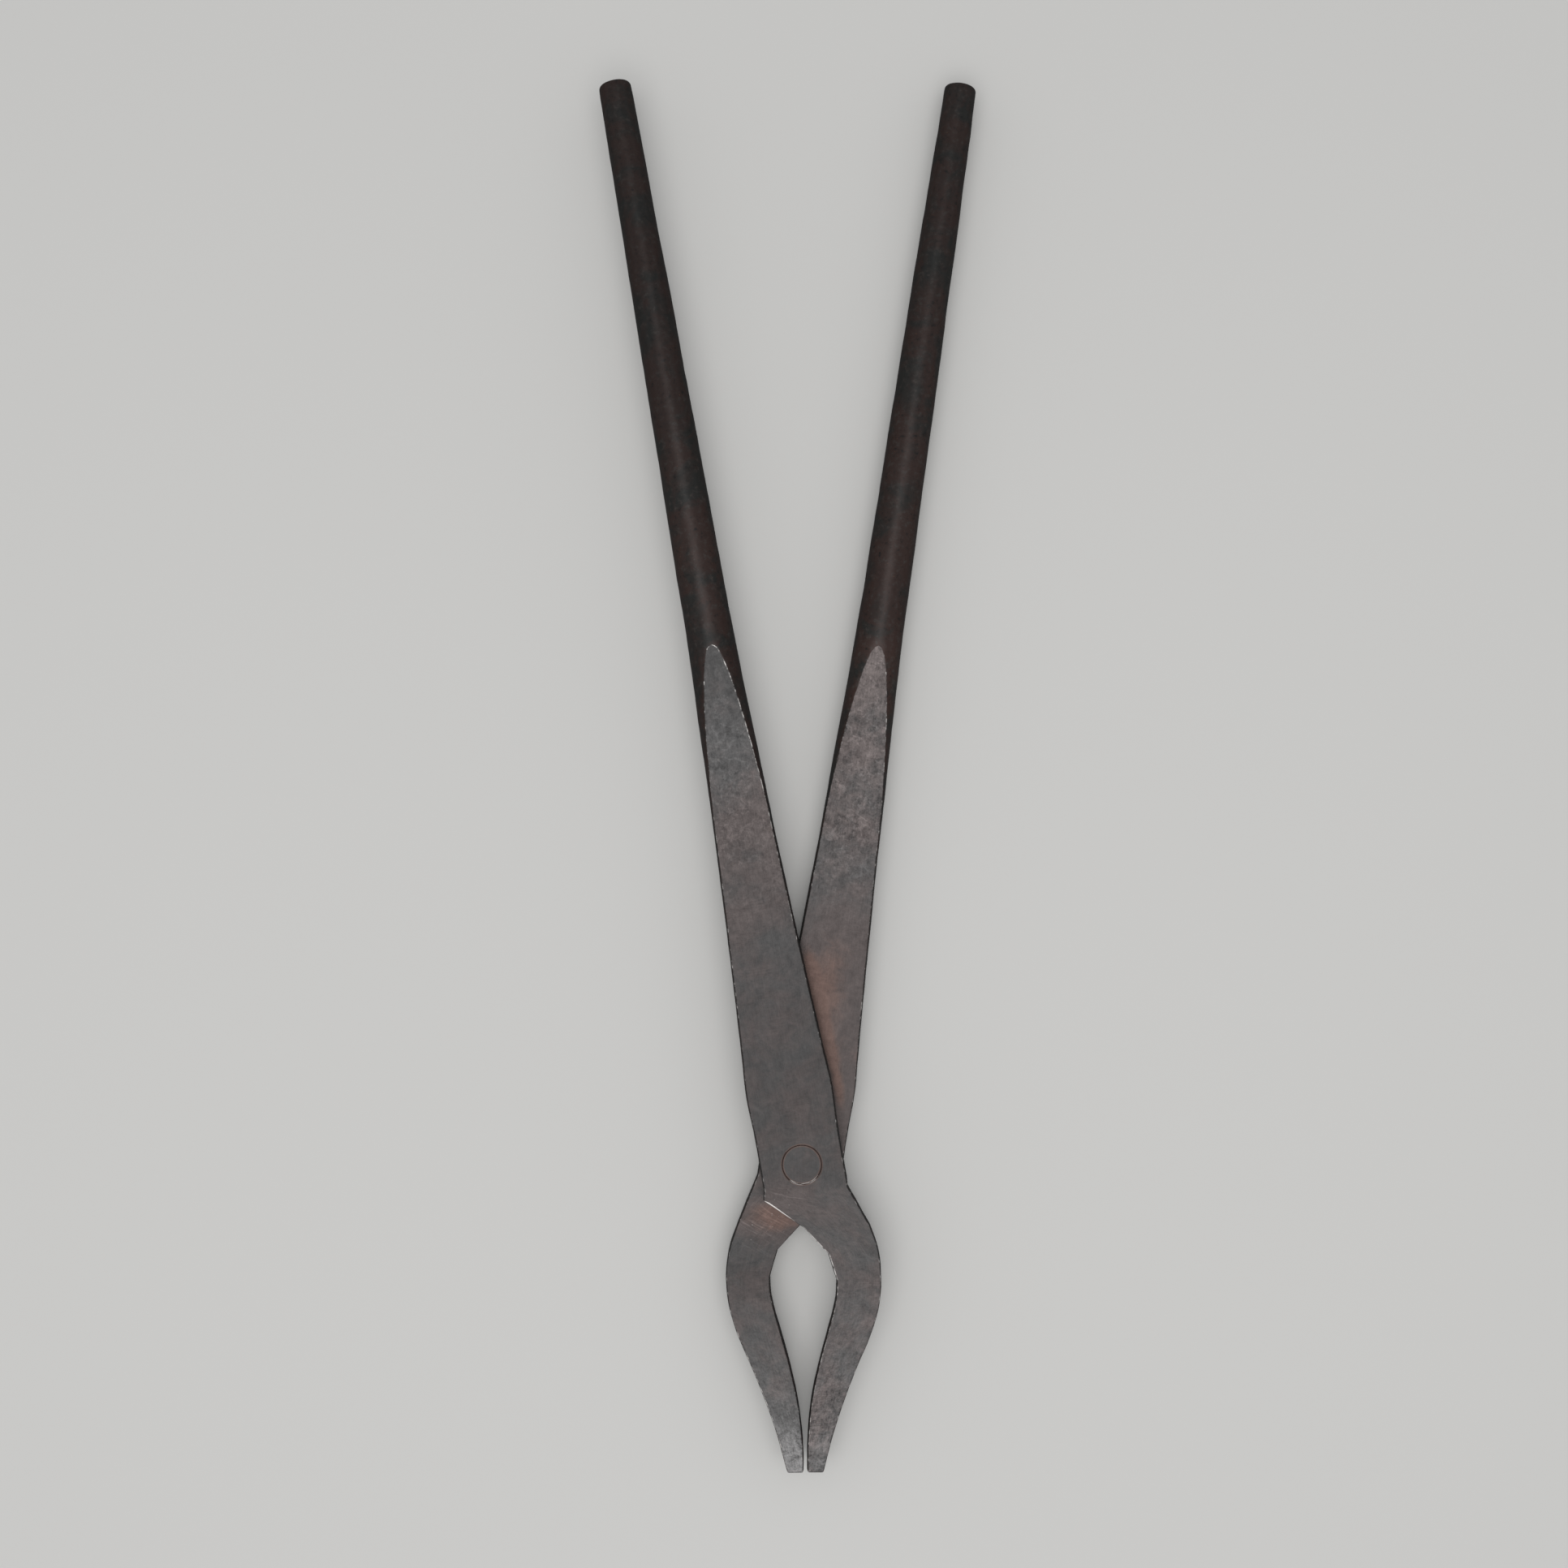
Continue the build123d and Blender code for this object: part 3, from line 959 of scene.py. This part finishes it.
def fire_scale(g, here, upward):
    """The rein and the forged edges, with painted shade darkening the flanks. Returns colour, roughness and
    height.
    """
    patch = g.noise(here, 0.10, detail=6, roughness=0.62, distortion=0.6)
    speck = g.noise(here, 0.62, detail=5, roughness=0.66)
    scale = g.mix(g.between(patch, 0.36, 0.58), SCALE_GREEN, SCALE_BROWN)
    scale = g.mix(g.between(speck, 0.50, 0.72), scale, SCALE_LIGHT)
    scale = g.mix(g.between(speck, 0.46, 0.28), scale, SCALE_BLACK)
    rust = g.times(g.between(g.noise(here, 1.5, detail=2), 0.70, 0.76), g.between(patch, 0.5, 0.6))
    scale = g.mix(g.times(rust, 0.5), scale, RUST)
    # Painted shade: the flanks are darkened in colour; the colour is also multiplied by the painted light
    # along the bar.
    flank_shade = g.plus(0.30, g.times(g.between(g.value("facing"), 0.0, 0.85), 0.70))
    colour = g.shaded(scale, g.times(flank_shade, g.value("painted_light_and_tone")))
    roughness = g.plus(g.blend(upward, 0.85, 0.30), g.times(speck, 0.20))
    return colour, roughness, g.centred(g.noise(here, 0.5, detail=3, roughness=0.5), 0.055)


def worn_edges(g, here, edge, ground, colour):
    """Bright lines where the arrises are worn, and small nicks where the flats are scraped."""
    keen = g.value("keen")
    width = g.plus(0.06, g.times(keen, 0.08))
    outer = g.between(edge, -0.24, -0.06)
    inner = g.between(g.minus(edge, width), 0.12, 0.0)
    worn_noise = g.plus(g.noise(here, 0.6, detail=4, roughness=0.62), g.times(keen, 0.13))
    worn = g.times(outer, inner, g.between(worn_noise, 0.56, 0.80))
    colour = g.mix(worn, colour, BRIGHT_STEEL)
    nick = g.between(g.noise(here, 1.1, detail=2), 0.69, 0.76)
    nick = g.times(nick, g.between(g.value("scrape"), 0.5, 1.0), ground, 0.35)
    return g.mix(nick, colour, BRIGHT_STEEL)


def rivet_seam(g, here, edge, rim, colour):
    """Dirt and a copper stain on both sides of the rivet's seam, and a glint on the jaws' side."""
    on_flat = g.between(edge, 0.5, 1.5)
    uneven = g.noise(here, 0.5, detail=3)
    distance = g.minus(rim, g.centred(uneven, 0.25))
    stain = g.times(g.between(distance, 0.6, 0.2), on_flat)
    colour = g.mix(g.times(stain, 0.7), colour, COPPER_STEEL)
    dirt = g.times(g.between(distance, 0.06, 0.0), on_flat)
    colour = g.mix(g.times(dirt, 0.3), colour, SCALE_BROWN)
    lower_side = g.between(g.value("path_y"), -2.4, -4.6)
    glint = g.times(g.between(rim, 0.26, 0.16), lower_side, on_flat, g.between(uneven, 0.40, 0.54))
    return g.mix(g.times(glint, 0.8), colour, BRIGHT_STEEL)


def forged_steel(name, seed, turned):
    """Ground steel on the flats, fire scale everywhere else; turned mirrors the slant of the scratches."""
    g = Graph(name)
    x, y, z = g.value("path_x"), g.plus(g.value("path_y"), seed * SEED_STEP), g.value("path_z")
    here = g.vector(x, y, z)
    edge, rim = g.value("edge"), g.value("rim")
    upward = g.between(g.value("facing"), 0.7, 1.0)
    steel, steel_rough, steel_height = ground_steel(g, x, y, z, turned)
    scale, scale_rough, scale_height = fire_scale(g, here, upward)

    ragged = g.plus(edge, g.centred(g.noise(here, 1.3, detail=3), 0.5))
    ground = g.between(ragged, -0.16, 0.06)
    colour = g.mix(ground, scale, steel)
    colour = worn_edges(g, here, edge, ground, colour)
    colour = rivet_seam(g, here, edge, rim, colour)

    bump = g.node("ShaderNodeBump")
    bump.inputs["Strength"].default_value = 1.0
    bump.inputs["Distance"].default_value = MM
    g.put(bump.inputs["Height"], g.blend(ground, scale_height, steel_height))
    surface = g.node("ShaderNodeBsdfPrincipled")
    surface.inputs["Specular IOR Level"].default_value = 0.3
    g.put(surface.inputs["Base Color"], colour)
    g.put(surface.inputs["Roughness"], g.blend(ground, scale_rough, steel_rough))
    g.put(surface.inputs["Metallic"], g.blend(ground, g.times(upward, 0.25), 0.88))
    g.put(surface.inputs["Normal"], bump.outputs["Normal"])
    output = g.node("ShaderNodeOutputMaterial")
    g.put(output.inputs["Surface"], surface.outputs["BSDF"])
    return g.material


front.data.materials.append(forged_steel("front_steel", 1, 1))
back.data.materials.append(forged_steel("back_steel", 2, -1))
rivet.data.materials.append(forged_steel("rivet_steel", 3, 1))

# ---------------------------------------------------------------- floor, light and camera, in metres
FLOOR_HALF = 12.0
FLOOR_GAP = 0.0004  # under the lowest point of the tongs
FLOOR_COLOUR = (0.62, 0.61, 0.59, 1)
SKY_COLOUR = (0.96, 0.98, 1.0, 1)
SKY_STRENGTH = 0.52
BROAD_LAMP = (-0.05, -0.15, 1.30)
KEY_LAMP = (-0.02, 0.14, 1.30)
CAMERA_PLACE = (-0.00377, 0.10872)
CAMERA_HEIGHT = 0.6  # above the outer face of the front half
FRAME_WIDTH = 0.4475  # what the picture spans at the level of that face
TILT = math.radians(0.70)
SENSOR = 36.0


def make_floor():
    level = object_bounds()[0].z - FLOOR_GAP
    corners = [(x * FLOOR_HALF, y * FLOOR_HALF, level) for x, y in ((-1, -1), (1, -1), (1, 1), (-1, 1))]
    mesh = bpy.data.meshes.new("floor")
    mesh.from_pydata(corners, [], [(0, 1, 2, 3)])
    floor = bpy.data.objects.new("floor", mesh)
    bpy.context.collection.objects.link(floor)
    paint = bpy.data.materials.new("floor")
    paint.use_nodes = True
    surface = paint.node_tree.nodes["Principled BSDF"]
    surface.inputs["Base Color"].default_value = FLOOR_COLOUR
    surface.inputs["Roughness"].default_value = 0.9
    mesh.materials.append(paint)


def light_world():
    world = bpy.data.worlds.new("studio")
    bpy.context.scene.world = world
    world.use_nodes = True
    background = world.node_tree.nodes["Background"]
    background.inputs["Color"].default_value = SKY_COLOUR
    background.inputs["Strength"].default_value = SKY_STRENGTH


def hang_lamp(name, place, size, power):
    """A round soft light, aimed at the middle of the tongs."""
    data = bpy.data.lights.new(name, "AREA")
    data.shape = "DISK"
    data.size = size
    data.energy = power
    lamp = bpy.data.objects.new(name, data)
    lamp.location = place
    lamp.rotation_mode = "QUATERNION"
    aim = (cad_low + cad_high) / 2 - Vector(place)
    lamp.rotation_quaternion = aim.to_track_quat("-Z", "Y")
    bpy.context.collection.objects.link(lamp)


def place_camera():
    """Straight above the tongs, looking down."""
    data = bpy.data.cameras.new("camera")
    data.sensor_width = SENSOR
    data.lens = SENSOR * CAMERA_HEIGHT / FRAME_WIDTH
    camera = bpy.data.objects.new("camera", data)
    camera.location = (*CAMERA_PLACE, rivet_high[2] * MM + CAMERA_HEIGHT)
    camera.rotation_euler = (0, 0, -TILT)
    bpy.context.collection.objects.link(camera)
    bpy.context.scene.camera = camera


make_floor()
light_world()
hang_lamp("broad", BROAD_LAMP, size=1.5, power=8.8)
hang_lamp("key", KEY_LAMP, size=0.22, power=1.0)
place_camera()
bpy.context.scene.view_settings.view_transform = "Standard"
